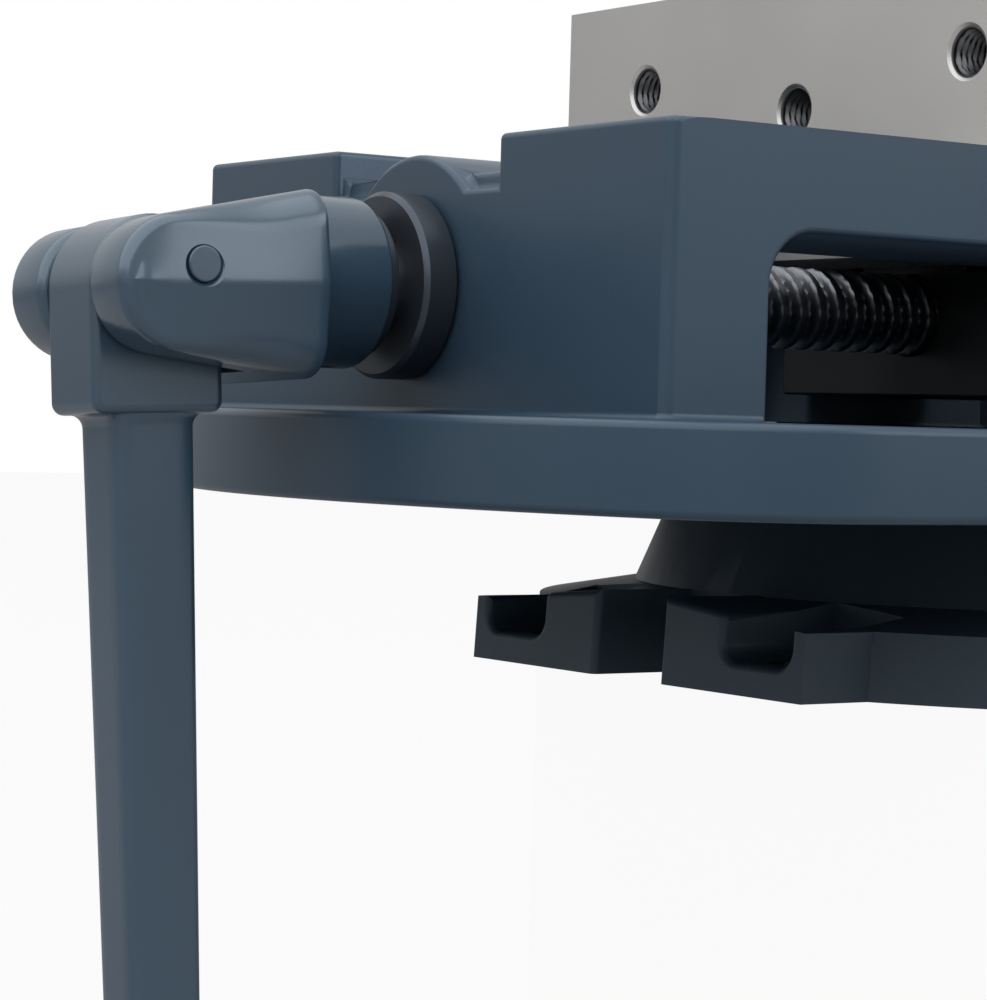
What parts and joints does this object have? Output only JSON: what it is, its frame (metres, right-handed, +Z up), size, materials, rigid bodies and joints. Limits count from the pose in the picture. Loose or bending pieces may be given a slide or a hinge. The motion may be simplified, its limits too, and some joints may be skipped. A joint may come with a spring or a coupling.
{
  "type": "machine vise on a swivel base",
  "caption": "Milling machine vise on a swivel base: bed with ways, fixed and sliding jaw with plates, lead screw and a folding crank with a turning grip.",
  "frame": {"origin": "where the swivel axis meets the underside of the base, at the centre of its bolt slots", "axes": "+X runs along the lead screw from the crank to the fixed jaw, +Z is up, +Y is to the left seen from the crank"},
  "size_m": [0.5092, 0.219, 0.255],
  "materials": {
    "body_paint": "satin blue-grey enamel over fine cast iron",
    "base_paint": "the same enamel, much darker and with a soft cast texture",
    "jaw_steel": "surface-ground steel with a fine matte grain",
    "hardened_steel": "hardened and ground steel",
    "black_steel": "black-oxide steel with bright worn edges",
    "nut_iron": "oiled ductile iron",
    "bush_bronze": "plain bearing bronze",
    "grip_plastic": "black moulded plastic with a fine matte grain"
  },
  "bodies": {
    "base": {"swivel_base": "base_paint", "swivel_pivot": "hardened_steel", "pivot_washer": "hardened_steel", "pivot_screw": "black_steel"},
    "bed": {"bed": "body_paint", "t_bolts": "black_steel", "clamp_washers": "hardened_steel", "clamp_nuts": "black_steel", "front_bush": "bush_bronze", "rear_bush": "bush_bronze", "fixed_race": "hardened_steel", "fixed_jaw": "jaw_steel", "fixed_jaw_keys": "hardened_steel", "fixed_jaw_screws": "black_steel", "fixed_jaw_plate": "hardened_steel", "fixed_plate_screws": "black_steel"},
    "jaw": {"movable_jaw": "jaw_steel", "movable_jaw_plate": "hardened_steel", "movable_plate_screws": "black_steel", "jaw_nut": "nut_iron", "jaw_segment": "hardened_steel", "jaw_set_screw": "black_steel"},
    "screw": {"lead_screw": "hardened_steel", "turning_race": "hardened_steel", "thrust_balls": "hardened_steel", "screw_collar": "black_steel", "collar_set_screw": "black_steel", "hub_washer": "hardened_steel", "crank_hub": "body_paint", "hub_set_screw": "black_steel", "hinge_pin": "body_paint"},
    "arm": {"crank_arm": "body_paint", "grip_spindle": "hardened_steel"},
    "grip": {"grip": "grip_plastic"}
  },
  "joints": [
    {"name": "swivel", "type": "hinge", "parent": "base", "child": "bed", "pos_m": [0, 0, 0], "axis": [0, 0, 1], "continuous": true},
    {"name": "crank_spin", "type": "hinge", "parent": "bed", "child": "screw", "pos_m": [-0.165, 0, 0.07585], "axis": [1, 0, 0], "range_deg": [-3960, 5040]},
    {"name": "jaw_slide", "type": "slide", "parent": "bed", "child": "jaw", "axis": [1, 0, 0], "range_m": [-0.055, 0.07]},
    {"name": "arm_fold", "type": "hinge", "parent": "screw", "child": "arm", "pos_m": [-0.222, 0, 0.07585], "axis": [0, 0.9993, -0.0384], "range_deg": [0, 180]},
    {"name": "grip_spin", "type": "hinge", "parent": "arm", "child": "grip", "pos_m": [-0.27293, -0.0066, -0.09591], "axis": [0.9994, 0.0013, 0.0349], "continuous": true}
  ],
  "couplings": [
    {"joint": "jaw_slide", "follows": "crank_spin", "m_per_rad": 0.00079577}
  ]
}
